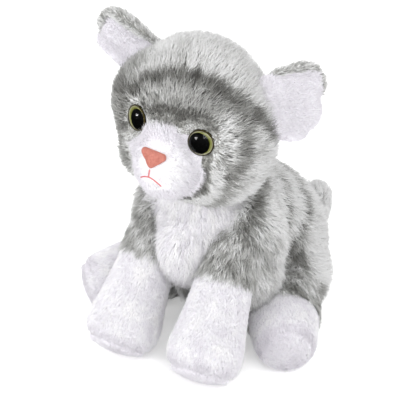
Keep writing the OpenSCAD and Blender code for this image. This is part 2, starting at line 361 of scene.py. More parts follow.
def linear(colour):
    """Linear values of a colour given as sRGB values up to 255."""
    c = np.array(colour, float) / 255
    return tuple(np.where(c <= 0.04045, c / 12.92, ((c + 0.055) / 1.055) ** 2.4))


def new_material(name, colour, roughness, specular=0.3, **sockets):
    mat = bpy.data.materials.new(name)
    mat.use_nodes = True
    shader = mat.node_tree.nodes["Principled BSDF"]
    shader.inputs["Base Color"].default_value = (*linear(colour), 1)
    shader.inputs["Roughness"].default_value = roughness
    shader.inputs["Specular IOR Level"].default_value = specular
    for socket, value in sockets.items():
        shader.inputs[socket.replace("_", " ")].default_value = value
    mat.diffuse_color = (*linear(colour), 1)
    return mat


def add_noise(mat, scale, dark, light, bump=0.0):
    """Colour between dark and light from noise in object space, with a bump from the same noise."""
    tree = mat.node_tree
    shader = tree.nodes["Principled BSDF"]
    place = tree.nodes.new("ShaderNodeTexCoord")
    noise = tree.nodes.new("ShaderNodeTexNoise")
    noise.inputs["Scale"].default_value = scale
    noise.inputs["Detail"].default_value = 4
    colours = tree.nodes.new("ShaderNodeValToRGB")
    for end, place_of, colour in zip(colours.color_ramp.elements, (0.3, 0.7), (dark, light)):
        end.position = place_of
        end.color = (*linear(colour), 1)
    tree.links.new(place.outputs["Object"], noise.inputs["Vector"])
    tree.links.new(noise.outputs["Fac"], colours.inputs["Fac"])
    tree.links.new(colours.outputs["Color"], shader.inputs["Base Color"])
    if bump:
        relief = tree.nodes.new("ShaderNodeBump")
        relief.inputs["Strength"].default_value = bump
        relief.inputs["Distance"].default_value = 0.0004
        tree.links.new(noise.outputs["Fac"], relief.inputs["Height"])
        tree.links.new(relief.outputs["Normal"], shader.inputs["Normal"])
    return mat


GREYS = [(74, 73, 69), (104, 103, 99), (134, 134, 130), (162, 162, 159), (188, 188, 186),
         (212, 212, 211), (232, 232, 232)]
WHITES = [(212, 209, 216), (221, 218, 225), (230, 227, 233), (237, 234, 240), (243, 241, 246),
          (249, 248, 251), (255, 254, 255)]


def pile_materials(name, colours):
    return [
        new_material(f"{name}_{i}", c, 0.75, 0.15, Sheen_Weight=0.25, Sheen_Roughness=0.5)
        for i, c in enumerate(colours)
    ]


GREY_PILE = pile_materials("grey_pile", GREYS)
WHITE_PILE = pile_materials("white_pile", WHITES)
GREY_BACKING = add_noise(
    new_material("grey_backing", (140, 140, 136), 0.9), 900, (118, 118, 114), (170, 170, 166), 0.6)
WHITE_BACKING = add_noise(
    new_material("white_backing", (232, 230, 235), 0.9), 900, (216, 213, 220), (246, 244, 248), 0.6)

# Each plush is its material slot, the material of its backing and those of its pile
GREY = "grey_plush", GREY_BACKING, GREY_PILE
WHITE = "white_plush", WHITE_BACKING, WHITE_PILE


# ---- Pile ----

STRANDS_PER_PIECE = 19_500
PILE_LENGTH = {"torso": 8, "bib": 8, "belly": 6, "underside": 4, "sleeve": 6, "paw": 3.2, "tail": 5,
               "ear_back": 3.6, "ear_lining": 2.2}
ROOT_DEPTH = 0.5  # how far below the cover's surface a strand is rooted
SHORTEST = 0.5  # strands shorter than this are left out
# Chance in a strand's lean, the place of its tip, its shade and the shade of its tuft
FLOW_NOISE, TIP_NOISE, SHADE_NOISE, TUFT_NOISE = 0.28, 0.08, 0.06, 0.08
# Place and width of a strand's bend, as shares of its tip's place and its root's width
BEND_LIFT, BEND_LEAN, BEND_GATHER, BEND_WIDTH = 0.62, 0.38, 0.35, 0.8
TIP_LIGHTER, ROOT_DARKER = 0.06, 0.08
RING = np.array([[math.cos(a), math.sin(a)] for a in np.radians([90, 210, 330])])
# A strand has three points round its root, three round its bend and one at its tip
STRAND_FACES = np.array([(0, 2, 1)] + [
    face for i, j in ((0, 1), (1, 2), (2, 0))
    for face in ((i, j, j + 3), (i, j + 3, i + 3), (i + 3, j + 3, 6))])
AT_TIP = STRAND_FACES.max(1) == 6


def scatter(cover, count, rng):
    """Random points on a cover, evenly by area, with their normals."""
    a, b, c = cover.corners
    chosen = rng.choice(len(cover.areas), count, p=cover.areas / cover.areas.sum())
    u, v = rng.random((2, count, 1))
    over = u + v > 1
    u, v = np.where(over, 1 - u, u), np.where(over, 1 - v, v)
    corners = cover.triangles[chosen]
    points = a[chosen] + u * (b - a)[chosen] + v * (c - a)[chosen]
    n = [cover.normals[corners[:, i]] for i in range(3)]
    return points, unit(n[0] * (1 - u - v) + n[1] * u + n[2] * v)


def along_skin(vectors, point_normals):
    """The part of each vector that lies along the skin, at unit length."""
    return unit(vectors - point_normals * (vectors * point_normals).sum(1, keepdims=True))


def tufts(points, size, seed):
    """For each point, the way to the middle of its tuft."""
    shift = np.stack([wobble(points, 3 * size, seed + i) for i in range(3)], 1) * size * 0.6
    cells = np.floor((points + shift) / size).astype(int)
    _, own, counts = np.unique(cells, axis=0, return_inverse=True, return_counts=True)
    own = own.ravel()
    middles = np.stack([np.bincount(own, points[:, i]) / counts for i in range(3)], 1)
    return middles[own] - points, own


def strand_points(root, bend, tip, n, width, spin):
    """The seven points of each strand, for STRAND_FACES."""
    axis = unit(tip - root)
    side = unit(np.cross(axis, n) + 1e-6)
    other = np.cross(axis, side)
    rings = []
    for centre, radius in ((root, width), (bend, BEND_WIDTH * width)):
        for cos_a, sin_a in RING:
            c = cos_a * np.cos(spin) - sin_a * np.sin(spin)
            s = cos_a * np.sin(spin) + sin_a * np.cos(spin)
            rings.append(centre + radius * (c[:, None] * side + s[:, None] * other))
    return np.stack([*rings, tip], 1)


def strand_object(name, strands, colours, palette):
    """One mesh of strands, with the number of a palette's colour for each face of each strand."""
    mesh = bpy.data.meshes.new(name)
    co = strands.reshape(-1, 3) * MM
    index = (STRAND_FACES[None] + 7 * np.arange(len(strands))[:, None, None]).reshape(-1)
    mesh.vertices.add(len(co))
    mesh.vertices.foreach_set("co", co.ravel())
    mesh.loops.add(len(index))
    mesh.loops.foreach_set("vertex_index", index)
    mesh.polygons.add(len(index) // 3)
    mesh.polygons.foreach_set("loop_start", np.arange(0, len(index), 3))
    for mat in palette:
        mesh.materials.append(mat)
    mesh.polygons.foreach_set("material_index", colours.ravel())
    mesh.polygons.foreach_set("use_smooth", np.ones(len(index) // 3, bool))
    mesh.update(calc_edges=True)
    obj = bpy.data.objects.new(name, mesh)
    SCENE.collection.objects.link(obj)
    return obj


def colour_of(value, palette):
    last = len(palette) - 1
    return np.clip(np.rint(value * last), 0, last).astype(int)


def grow(name, cover, body, plush, length, flow, shade, seed, density,
         lift=0.45, lean=0.85, width=0.2, tuft=3.0, gather=0.5, floor=None):
    """Pile on a cover: thin closed tapered strands, each with one bend.

    length, flow and shade are functions of the points: millimetres, a direction and a number from
    0, the darkest colour of the plush, to 1. density is in strands per square millimetre. lift and
    lean are how far the tip stands off the skin and along it, as shares of the length.
    """
    slot, _, palette = plush
    rng = np.random.default_rng(seed)
    count = int(cover.areas.sum() * density)
    points, n = scatter(cover, count, rng)
    long = length(points) * rng.uniform(0.75, 1.2, count)
    kept = long > SHORTEST
    points, n, long = points[kept], n[kept], long[kept][:, None]
    count = len(points)
    along = along_skin(flow(points) + FLOW_NOISE * rng.normal(size=(count, 3)), n)
    to_tuft, tuft_of = tufts(points, tuft, seed + 50)
    root = points - ROOT_DEPTH * n
    bend = points + long * (BEND_LIFT * lift * n + BEND_LEAN * lean * along)
    bend += BEND_GATHER * gather * to_tuft
    tip = points + long * (lift * n + lean * along) + gather * to_tuft
    tip += TIP_NOISE * long * rng.normal(size=(count, 3))
    if floor is not None:
        for where in (root, bend, tip):
            where[:, 2] = np.maximum(where[:, 2], floor)
    tuft_shade = rng.normal(size=tuft_of.max() + 1)[tuft_of]
    value = shade(tip) + SHADE_NOISE * rng.normal(size=count) + TUFT_NOISE * tuft_shade
    colours = np.where(AT_TIP, colour_of(value + TIP_LIGHTER, palette)[:, None],
                       colour_of(value - ROOT_DARKER, palette)[:, None])
    strands = strand_points(root, bend, tip, n, width, rng.uniform(0, 2 * np.pi, count))
    order = np.argsort(rng.random(count))
    for k, start in enumerate(range(0, count, STRANDS_PER_PIECE)):
        own = order[start:start + STRANDS_PER_PIECE]
        obj = strand_object(f"{name}_{k + 1}", strands[own], colours[own], palette)
        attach(obj, body)


def always(value):
    return lambda points: np.full(len(points), float(value))


# ---- Torso ----

BREAST = ((0, -40, 55), (15, 24, 20))
SHOULDER_BULGE = ((17, -33, 57), (20, 15, 23))
SLEEVE_BULGE = ((24, -36, 41), (13, 14, 16))
HAUNCH = ((27, -2, 22), (17.5, 20, 20))
BIB_TOP_W, BIB_LOW = 22.5, 36  # half width of the bib at its top, and the height of its point
BIB_RISE = 34  # how far above its point the bib is at its full width
BIB_LEAN = 4  # how far the bib's top lies towards the cat's right
BIB_BACK, BIB_BACK_Z = 0.95, 42  # slope and height of the plane that the bib stays in front of

FLANK = ((39, -18, 34), (11, 12, 17))  # the dark patch between the shoulder and the haunch
TORSO_MIDDLE = (0, -14, 46), 38  # middle and radius of the ball that the stripes are drawn on
TORSO_STRIPES = [
    (0.26, 1.6, 3.0, [(20, -10, 82), (25, -20, 81), (29, -34, 77), (29, -42, 70), (26, -49, 64),
                      (21, -54, 56)]),
    (0.24, 0.5, 1.8, [(0, 14, 84), (12, 10, 80), (22, 5, 73), (30, -5, 68), (35, -12, 61),
                      (37, -20, 54), (37, -24, 49)]),
    (0.16, 0.6, 1.8, [(0, 28, 70), (17, 21, 67), (28, 13, 63), (35, 4, 57), (39, -4, 52),
                      (39, -12, 48)]),
    (0.46, 0.6, 3.0, [(0, 38, 48), (18, 35, 46), (32, 26, 38), (42, 16, 28), (43, 12, 18),
                      (40, 16, 6)]),
    (0.40, 1.2, 3.0, [(43, -4, 22), (42, 2, 12)]),
    (0.40, 0.8, 3.0, [(0, 44, 30), (18, 38, 26), (30, 28, 14)]),
    (1.00, 1.8, 2.4, [(28, -6, 72), (34, -15, 64), (36, -21, 57), (36, -27, 47), (33, -31, 33)]),
]


def bib_side(p):
    """How far outside the bib's edge each point is, negative inside."""
    share = np.clip((p[:, 2] - BIB_LOW) / BIB_RISE, 0.001, 1)
    outside = np.abs(p[:, 0] + BIB_LEAN * share) - BIB_TOP_W * share ** 0.2
    return np.where(p[:, 1] < CHEST_C[1], outside, 99)


def torso_seams(p):
    return np.abs(bib_side(p))


def torso_skin():
    balls = chain(RUMP_C, CHEST_C, RUMP_R + 1, CHEST_R - 2)
    balls += [ball(NECK_P, NECK_R), ball(*BREAST)]
    for centre, radii in (SHOULDER_BULGE, SLEEVE_BULGE, HAUNCH):
        balls += [ball(vec(*centre) * (side, 1, 1), radii) for side in SIDES.values()]
    obj = skin("torso", balls)
    pad(obj, torso_seams, SWELL["torso"])
    refine(obj)
    groove(obj, torso_seams, 0.6, 1.6)
    return rested(obj)


def rested(obj):
    """Flattens what would reach below the floor."""
    co = coords(obj)
    co[:, 2] = np.maximum(co[:, 2], REST_Z)
    set_coords(obj, co)
    return obj


def torso_label(p):
    bib = bib_side(p) < 0
    bib &= (p[:, 2] > BIB_LOW) & (p[:, 1] < -BIB_BACK * (p[:, 2] - BIB_BACK_Z))
    belly = (np.abs(p[:, 0]) < 14) & (p[:, 1] < -8) & (p[:, 2] < 52) & ~bib
    seat = (p[:, 2] < 1.5) & (np.hypot(p[:, 0], p[:, 1]) < 22)
    return np.select([bib, seat, belly], ["bib", "seat", "belly"], "torso")


def torso_shade(p):
    """Light greenish grey with darker stripes over the back, a dark flank and mottled shoulders."""
    q = mirrored(p)
    value = 0.92 + 0.06 * wobble(p, 20, 3) + 0.05 * wobble(p, 6, 4)
    mottled = (1 - ramp(-38, -28, q[:, 1])) * (1 - ramp(60, 72, q[:, 2]))
    value = mix(value, 0.66 + 0.18 * wobble(p, 8, 7), 0.7 * mottled)
    value = striped(q, value, TORSO_STRIPES, 61, *TORSO_MIDDLE)
    inside = np.linalg.norm((q - FLANK[0]) / FLANK[1], axis=1) + 0.1 * wobble(p, 6, 8)
    value = mix(value, 0.20 + 0.12 * wobble(p, 5, 9), 1 - ramp(0.75, 1.15, inside))
    return np.clip(value, 0, 1)


def torso_flow(p):
    """Down and a little back over the shoulders, back over the haunches."""
    haunch = (ramp(-18, 6, p[:, 1]) * (1 - ramp(44, 66, p[:, 2])))[:, None]
    return mix(vec(0, 0.35, -1) + 0 * p, vec(0, 1, -0.3) + 0 * p, haunch)


def bib_flow(p):
    return np.stack([0.012 * p[:, 0], 0 * p[:, 0], -np.ones(len(p))], 1)


def bib_shade(p):
    """White in bright and faint upright streaks."""
    return 0.78 + 0.22 * wobble(p * (1, 1, 0.25), 4, 45)


def torso_length(p):
    length = np.where(p[:, 2] < 4, PILE_LENGTH["underside"], PILE_LENGTH["torso"])
    return length * (1 - 0.3 * band(p[:, 1], -20, 6, 6))


TORSO_COVERS = {
    "torso": (GREY, ["torso_skin", "torso_stuffing", "pellet_pouch", "pellets", "neck_stuffing"]),
    "bib": (WHITE, ["chest_bib"]),
    "belly": (GREY, ["belly_panel"]),
    "seat": (GREY, ["seat_panel"]),
}


def make_torso():
    covers = split(torso_skin(), torso_label)
    for label, (plush, nodes) in TORSO_COVERS.items():
        cover_piece(f"{label}_plush", covers[label], "torso", plush, PANEL_FILL, *nodes)
    grow("torso_pile", covers["torso"], "torso", GREY, torso_length, torso_flow, torso_shade, 11,
         density=3.4, lift=0.5, floor=REST_Z)
    grow("bib_pile", covers["bib"], "torso", WHITE, always(PILE_LENGTH["bib"]), bib_flow, bib_shade,
         12, density=5, lift=0.4, width=0.16, floor=REST_Z)
    # The belly between the front legs gets the darkest grey: painted shade between the legs
    grow("belly_pile", covers["belly"], "torso", GREY, always(PILE_LENGTH["belly"]), torso_flow,
         always(0.12), 13, density=2.6, floor=REST_Z)


# ---- Head ----

MUZZLE_WHITE = ((0.3, -7.2), 17.6)  # middle and radius of the white patch, across and up the face
MUZZLE_LEAN = 0.22  # how far the white leans towards the cat's left above the nose
# The forehead's arc and brow sit a little lower on one side than on the other
FOREHEAD_STRIPES = [
    (0.62, 6, 5, [(-12, -21, 25), (2, -20, 26), (14, -19, 27), (22, -14, 25)]),
    (0.14, 1.8, 3.0, [(-30, -10, 12), (-21, -20, 21), (-17, -18, 27), (-11, -18, 31), (-3, -16, 34),
                      (5, -15, 36), (13, -13, 35), (20, -11, 34), (26, -10, 31), (31, -7, 27),
                      (38, 0, 18), (41, 8, 8)]),
    (0.34, 1.4, 2.2, [(-8, -25, 13), (2, -26, 15), (10, -25, 14.5)]),
    (0.12, 1.6, 2.6, [(-12, -24, 15), (-2, -24, 17.5), (8, -23, 19), (14, -22, 19.5), (19, -20, 19),
                      (24, -20, 15)]),
]
HEAD_STRIPES = [
    (0.20, 0.8, 2.0, [(24, -22, 1), (26, -21, -2), (30, -19, -4)]),
    (0.36, 1.5, 3.5, [(31, -6, 28), (39, -9, 10), (39, -11, -1), (35, -14, -11)]),
]
# Rings round the muzzle: shade, radius, half width and softness. The dark ring is painted shade under
# the muzzle, and the outer grey ring is a painted shadow where the head meets the body
HEAD_RINGS = [(0.97, 27, 2.0, 2.5), (0.16, 21.6, 1.6, 1.6), (0.42, 32, 0.6, 2.2)]


def eye_frame(name):
    """Middle of an eye at the front of its flange, and the way it looks, in the row frame."""
    iris, washer = (np.mean(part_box(f"{name}_eye_{part}"), axis=0) / MM for part in ("iris", "washer"))
    way = unit(iris - washer)
    return iris - 0.2 * way, way


EYES = {name: eye_frame(name) for name in SIDES}
EYE_R = 6
NOSE_DIR = unit(vec(*NOSE_WAY))
NOSE_P = vec(*MUZZLE_C) + NOSE_DIR * MUZZLE_R


def on_muzzle(x, z, lift):
    r = MUZZLE_R + lift
    return vec(x, MUZZLE_C[1] - math.sqrt(r * r - x * x - (z - MUZZLE_C[2]) ** 2), z)


MOUTH = [
    [(0, -8.8), (0, -12.2)],
    [(0, -12.2), (2.2, -12.6), (4.2, -13.6), (6.0, -15.0)],
    [(0, -12.2), (-1.8, -12.6), (-3.4, -13.4), (-4.6, -14.4)],
]


def mouth_distance(q):
    paths = [[on_muzzle(x, z, 0) for x, z in path] for path in MOUTH]
    return np.min([near(q, path) for path in paths], axis=0)


def eye_distance(p):
    return np.min([np.linalg.norm(p - centre, axis=1) for centre, _ in EYES.values()], axis=0)


def from_white(q):
    """Distance across the face from the middle of the white patch."""
    x, z = MUZZLE_WHITE[0]
    return np.hypot(q[:, 0] - x, q[:, 2] - z)


def muzzle_edge(p):
    """Distance from the seam round the white patch of the face."""
    q = to_head(p)
    return np.where(q[:, 1] < -8, np.abs(from_white(q) - MUZZLE_WHITE[1]), 99)


def head_seams(p):
    """Distance from where the cloth is held: the panels' seams, the eyes, nose and mouth."""
    q = to_head(p)
    gusset = np.abs(np.abs(q[:, 0]) - GUSSET_W)
    nose = np.maximum(np.linalg.norm(q - NOSE_P, axis=1) - 6, 0)
    eyes = np.maximum(eye_distance(p) - EYE_R, 0)
    return np.min([gusset, muzzle_edge(p), nose, mouth_distance(q), eyes], axis=0)


def head_skin():
    parts = [
        ((0, 0, 0), (HEAD_R - 1.2, FACE_DEPTH - 1, HEAD_R - 2)),  # face
        ((0, 0, 0), (HEAD_R - 3, NAPE_DEPTH - 1.5, HEAD_R - 3)),  # nape
        ((0, 2, 6), (31, 24, 32)),  # crown
        ((-15, -3, -17), (17.5, 16.5, 14)),  # right jowl
        ((-10, -2, 6), (28.4, 19, 24)),  # right cheek
        (MUZZLE_C, (MUZZLE_R + 1, MUZZLE_R, MUZZLE_R)),
        (vec(*MUZZLE_C) - (0, 1.2, 3.5), (MUZZLE_R - 0.5, MUZZLE_R - 1, MUZZLE_R - 1.5)),  # chin
    ]
    balls = [ball(from_head(c), r, HEAD_TURN) for c, r in parts]
    obj = skin("head", balls)
    pad(obj, head_seams, SWELL["head"])
    refine(obj)
    groove(obj, lambda p: mouth_distance(to_head(p)), 0.7, 1.1)
    groove(obj, muzzle_edge, 1.0, 2.0)
    return socketed(obj)


def socketed(obj):
    """Presses the cloth in round the eyes and under the nose, as their washers do."""
    co = coords(obj)
    places = [(centre, way, EYE_R + 0.6, 4.5, -0.5) for centre, way in EYES.values()]
    places.append((from_head(NOSE_P), HEAD_TURN @ NOSE_DIR, 4, 3, -0.2))
    for centre, way, radius, soft, top in places:
        rise = (co - centre) @ way
        away = np.linalg.norm(co - centre - rise[:, None] * way, axis=1)
        press = np.maximum(rise - top, 0) * (1 - ramp(radius, radius + soft, away))
        co -= way * np.where(rise < 15, press, 0)[:, None]
    set_coords(obj, co)
    return obj


def head_label(p):
    q = to_head(p)
    (x, z), r = MUZZLE_WHITE
    above = np.maximum(q[:, 2] - z, 0)
    muzzle = (np.hypot(q[:, 0] - x - MUZZLE_LEAN * above, q[:, 2] - z + 0.1 * above) < r)
    muzzle &= q[:, 1] < -10
    side = np.select([q[:, 0] > GUSSET_W, q[:, 0] < -GUSSET_W], ["left", "right"], "gusset")
    return np.where(muzzle, "muzzle", side)


def head_shade(p):
    """Light crown and cheeks, a dark arc over the forehead, brows, cheek stripes, painted shade over
    the front of the cat's right side, a muzzle ring of painted shade under the muzzle and a painted
    shadow along the head's lower rim.
    """
    q = to_head(p)
    value = 0.88 + 0.06 * wobble(p, 18, 5) + 0.05 * wobble(p, 4, 6)
    # Painted shade over the front of the cat's right side, the side away from the key light
    value -= 0.42 * (1 - ramp(-30, -18, q[:, 0])) * (1 - ramp(-8, 6, q[:, 1]))
    value += 0.10 * wobble(p * (1, 1, 0.35), 3, 67) * (q[:, 1] < -4)
    value = striped(q, value, FOREHEAD_STRIPES, 69, (0, 0, 0), HEAD_R)
    value = striped(mirrored(q), value, HEAD_STRIPES, 65, (0, 0, 0), HEAD_R)
    round_muzzle = from_white(q) + 0.8 * wobble(q, 6, 68)
    below = (1 - ramp(0, 6, q[:, 2])) * (1 - ramp(-8, 0, q[:, 1])) * ramp(-22, -8, q[:, 0])
    # The rings are painted only under the muzzle; the two dark ones are painted shade and painted
    # shadow
    for ring_shade, radius, width, soft in HEAD_RINGS:
        value = mix(value, ring_shade, below * band(round_muzzle, radius, width, soft))
    return np.clip(value, 0, 1)


def head_flow(p):
    """Out from the muzzle and back over the crown, and away from each eye."""
    q = to_head(p)
    out = unit(q - vec(0, -27, -6))
    out[:, 1] += 0.25
    out = out @ HEAD_TURN.T
    for centre, _ in EYES.values():
        away = p - centre
        close = 1 - ramp(EYE_R + 1, EYE_R + 9, np.linalg.norm(away, axis=1))
        out = mix(out, unit(away), close[:, None])
    return out


def head_length(p):
    q = to_head(p)
    r = MUZZLE_WHITE[1]
    length = 6.5 + 2.5 * ramp(-12, 10, q[:, 1])
    length *= 0.35 + 0.65 * ramp(r + 1, r + 12, from_white(q))
    return length * (0.3 + 0.7 * ramp(EYE_R, EYE_R + 7, eye_distance(p)))


def muzzle_shade(p):
    """White in the middle, with painted shade, a lilac grey, towards the edges and under the nose."""
    q = to_head(p)
    (x, z), r = MUZZLE_WHITE
    # The lit middle sits a little towards the cat's left and down; the edges fall off to painted shade
    middle = 1 - ramp(0.35 * r, r, np.hypot(q[:, 0] - x - 3, q[:, 2] - z + 1))
    return 0.46 + 0.5 * middle


def muzzle_length(p):
    q = to_head(p)
    nose = np.linalg.norm(q - NOSE_P, axis=1)
    edge = np.minimum(ramp(5, 13, nose), ramp(0.4, 5, mouth_distance(q)))
    return (0.9 + 3.6 * edge) * (0.3 + 0.7 * ramp(EYE_R, EYE_R + 5, eye_distance(p)))


def make_head():
    covers = split(head_skin(), head_label)
    cover_piece("muzzle_plush", covers["muzzle"], "head", WHITE, PANEL_FILL, "muzzle_patch",
                "muzzle_stuffing")
    cover_piece("head_gusset_plush", covers["gusset"], "head", GREY, PANEL_FILL, "head_gusset",
                "head_stuffing")
    for name in SIDES:
        cover_piece(f"{name}_face_plush", covers[name], "head", GREY, PANEL_FILL,
                    f"{name}_face_panel")
    for i, label in enumerate(("gusset", "left", "right")):
        grow(f"head_{label}_pile", covers[label], "head", GREY, head_length, head_flow, head_shade,
             20 + i, density=3.6, lift=0.48, width=0.18)
    grow("muzzle_pile", covers["muzzle"], "head", WHITE, muzzle_length, head_flow, muzzle_shade, 24,
         density=8, lift=0.4, width=0.15, tuft=1.6, gather=0.1)


# ---- Ears ----

EAR_LOBES = [
    ((-5, 0, 19), (10.5, 2.6, 11.5)), ((4.5, 0, 16.5), (10.5, 2.6, 11)),
    ((1.5, 0, 11.5), (16.5, 2.6, 12)), ((1, 0, 4), (13.5, 3, 8)),
]
EAR_ROLL_FROM = 8.5  # how far up from its middle the upper edge starts to roll over
EAR_ROLL_R = {"left": 8, "right": 5}  # radius of that roll
EAR_CURL_FROM = {"left": 12, "right": 1}  # how far down the lower part starts to curl over
EAR_CURL_R = {"left": 7, "right": 4}  # radius of that curl
EAR_LOW_SHARE = {"left": 1.0, "right": 0.6}  # how wide the lower half is beside the upper half
EAR_HEM = {"left": 3, "right": 5}  # width of the grey edge that shows round the lining


def ear_shape(flat, name):
    """Cups a flat ear towards its lining and rolls its upper and lower edges over."""
    flat = flat * np.where(flat[:, :1] > 0, [[EAR_LOW_SHARE[name], 1, 1]], [[1, 1, 1]])
    co = flat.copy()
    for edge, start, roll_r in ((-1, EAR_ROLL_FROM, EAR_ROLL_R[name]),
                                (1, EAR_CURL_FROM[name], EAR_CURL_R[name])):
        reach = np.maximum(edge * flat[:, 0] - start, 0)
        angle = reach / roll_r
        co[:, 0] -= edge * (reach - (roll_r + flat[:, 1]) * np.sin(angle))
        co[:, 1] -= (roll_r + flat[:, 1]) * (1 - np.cos(angle))
    co[:, 1] -= 3.5 * (flat[:, 0] / 15) ** 2 * ramp(0, 12, flat[:, 2])
    co[:, 1] += 2.2 * np.sin(np.clip(flat[:, 2] / 30, 0, 1) * np.pi)
    return co


def ear_label(flat, width):
    """Lining in front, inside a hem of the given width round the upper and outer edges, else back."""
    top = 15.5 - width - np.abs(np.clip(flat[:, 2] - 22, 0, 9)) * 0.5
    hem = (-flat[:, 0] > top) | ((flat[:, 2] > 30.5 - 0.8 * width) & (flat[:, 0] < 5))
    hem &= flat[:, 2] > 0
    return np.where(((flat[:, 1] > 0.9) & (flat[:, 0] < 11)) | hem, "back", "lining")


def make_ear(name, side):
    origin = joint_at(f"{name}_ear_fold")
    ear_turn = (HEAD_TURN @ np.diag([side, 1, 1]) @ turn("Z", EAR_SWEEP) @ turn("Y", EAR_TILT)
                @ turn("Z", EAR_TWIST) @ turn("X", EAR_FOLD[name]))
    body = f"{name}_ear"
    obj = skin(body, [ball(*lobe) for lobe in EAR_LOBES], voxel=1.0, smoothing=4)
    flat = coords(obj)
    middles = np.array([flat[list(f.vertices)].mean(0) for f in obj.data.polygons])
    labels = ear_label(middles, EAR_HEM[name])
    set_coords(obj, ear_shape(flat, name) @ ear_turn.T + origin)
    if side == RIGHT:
        obj.data.flip_normals()
    covers = split(obj, lambda p: labels)
    for face, plush in (("back", GREY), ("lining", WHITE)):
        cover_piece(f"{body}_{face}_plush", covers[face], body, plush, EAR_FILL, f"{body}_{face}")

    def flow(p):
        return ear_turn @ vec(-0.15, 0, 1) + 0.03 * (p - ear_turn @ vec(0, 0, 14) - origin)

    def back_shade(p):
        return np.clip(0.76 + 0.07 * wobble(p, 8, 33), 0, 1)

    grow(f"{body}_back_pile", covers["back"], body, GREY, always(PILE_LENGTH["ear_back"]), flow,
         back_shade, 31 + side, density=5, lift=0.55, lean=0.6, width=0.15, tuft=2)
    grow(f"{body}_lining_pile", covers["lining"], body, WHITE, always(PILE_LENGTH["ear_lining"]),
         flow, always(0.5), 35 + side, density=9, lift=0.35, lean=0.9, width=0.14, tuft=1.8,
         gather=0.1)


# ---- Legs ----

def leg_balls(top, paw, r_top, r_paw):
    """A leg that stays slim and widens near its paw."""
    steps = np.linspace(0, 1, 9)
    radii = r_top + (r_paw - r_top) * steps ** 2.2
    return [ball(mix(top, paw, t), r) for t, r in zip(steps, radii)]


LEG_PARTS = {
    "foreleg": ("foreleg_sleeve", "forepaw_sock", "forepaw_sole", "foreleg_stuffing"),
    "hindleg": ("thigh", "hind_sock", "hind_sole", "hind_stuffing"),
}
SOLE_FROM = 0.5  # share of the paw's radius in front of which the sole starts
SOLE_FLATTEN = 0.45  # share of what bulges past the sole's seam that is pressed back


def make_leg(name, kind, side):
    front = kind == "foreleg"
    top = joint_at(f"{name}_{kind}_swing")
    r_top, r_paw = (SHOULDER_R - 0.5, FOREPAW_R) if front else (HIP_R - 1, HINDPAW_R)
    upper, sock, sole, stuffing = (f"{name}_{part}" for part in LEG_PARTS[kind])
    paw = paw_centre(stuffing, r_paw - CLOTH, side)
    axis = unit(paw - top)
    sleeve = SLEEVE_LENGTH if front else THIGH_LENGTH
    sole_at = np.linalg.norm(paw - top) + SOLE_FROM * r_paw

    def along(p):
        return (p - top) @ axis

    def ridge(p):
        """Distance from the seam that runs down the front of the leg."""
        across = np.cross(axis, vec(0, 0, 1))
        return np.where(p[:, 2] > top[2] + (paw - top)[2] * along(p) / sole_at,
                        np.abs((p - top) @ unit(across)), 99)

    body = f"{name}_{kind}"
    obj = skin(body, leg_balls(top, paw, r_top, r_paw))
    pad(obj, lambda p: np.minimum(np.abs(along(p) - sleeve), np.abs(along(p) - sole_at)),
        SWELL["leg"])
    refine(obj)
    groove(obj, lambda p: np.abs(along(p) - sole_at), 0.9, 1.2)
    groove(obj, lambda p: np.where(along(p) > sleeve, ridge(p), 99), 0.35, 0.9)
    co = coords(obj)
    beyond = np.maximum(along(co) - sole_at - 1, 0)
    set_coords(obj, co - SOLE_FLATTEN * beyond[:, None] * axis)
    rested(obj)
    covers = split(obj, lambda p: np.select(
        [along(p) < sleeve, along(p) > sole_at], ["sleeve", "sole"], "sock"))
    cover_piece(upper + "_plush", covers["sleeve"], body, GREY, PANEL_FILL, upper)
    cover_piece(sock + "_plush", covers["sock"], body, WHITE, PANEL_FILL, sock, stuffing)
    cover_piece(sole + "_plush", covers["sole"], body, WHITE, PANEL_FILL, sole)

    def flow(p):
        return np.tile(axis, (len(p), 1))

    def sleeve_shade(p):
        return np.clip(0.62 + 0.2 * wobble(p, 8, 7), 0, 1)

    def sock_shade(p):
        # Painted shade: a darker line along the sole's seam, and the sole darker all over
        value = 0.74 - 0.3 * np.exp(-((along(p) - sole_at) / 1.5) ** 2) + 0.12 * wobble(p, 12, 44)
        return value - 0.3 * ramp(-1, 3, along(p) - sole_at)

    seed = 40 + 4 * side + (2 if front else 0)
    grow(upper + "_pile", covers["sleeve"], body, GREY, always(PILE_LENGTH["sleeve"]), flow,
         sleeve_shade, seed, density=3, lift=0.4, floor=REST_Z)
    for i, (node, label) in enumerate(((sock, "sock"), (sole, "sole"))):
        grow(node + "_pile", covers[label], body, WHITE, always(PILE_LENGTH["paw"]), flow,
             sock_shade, seed + 100 + i, density=7, lift=0.35, lean=0.9, width=0.15, tuft=2.2,
             gather=0.25, floor=REST_Z)


# ---- Tail ----

def make_tail():
    path = np.array(TAIL_PATH, float)
    balls = [b for start, end in zip(path[:-1], path[1:])
             for b in chain(start, end, TAIL_R, TAIL_R, 3)]
    obj = skin("tail", balls)
    pad(obj, lambda p: np.full(len(p), 99.0), SWELL["tail"])
    refine(obj)
    covers = split(obj, lambda p: np.full(len(p), "tail"))
    cover_piece("tail_plush", covers["tail"], "tail", GREY, TAIL_FILL, "tail_skin",
                "tail_stuffing")

    def flow(p):
        share = np.exp(-((p[:, None] - path[None]) ** 2).sum(2) / 50)
        return share @ unit(np.gradient(path, axis=0)) / share.sum(1, keepdims=True)

    def shade(p):
        return np.clip(1.06 + 0.05 * wobble(p, 9, 72), 0, 1.1)

    grow("tail_pile", covers["tail"], "tail", GREY, always(PILE_LENGTH["tail"]), flow, shade, 71,
         density=4.5, lift=0.5, floor=REST_Z)


# ---- Eyes, nose and mouth ----

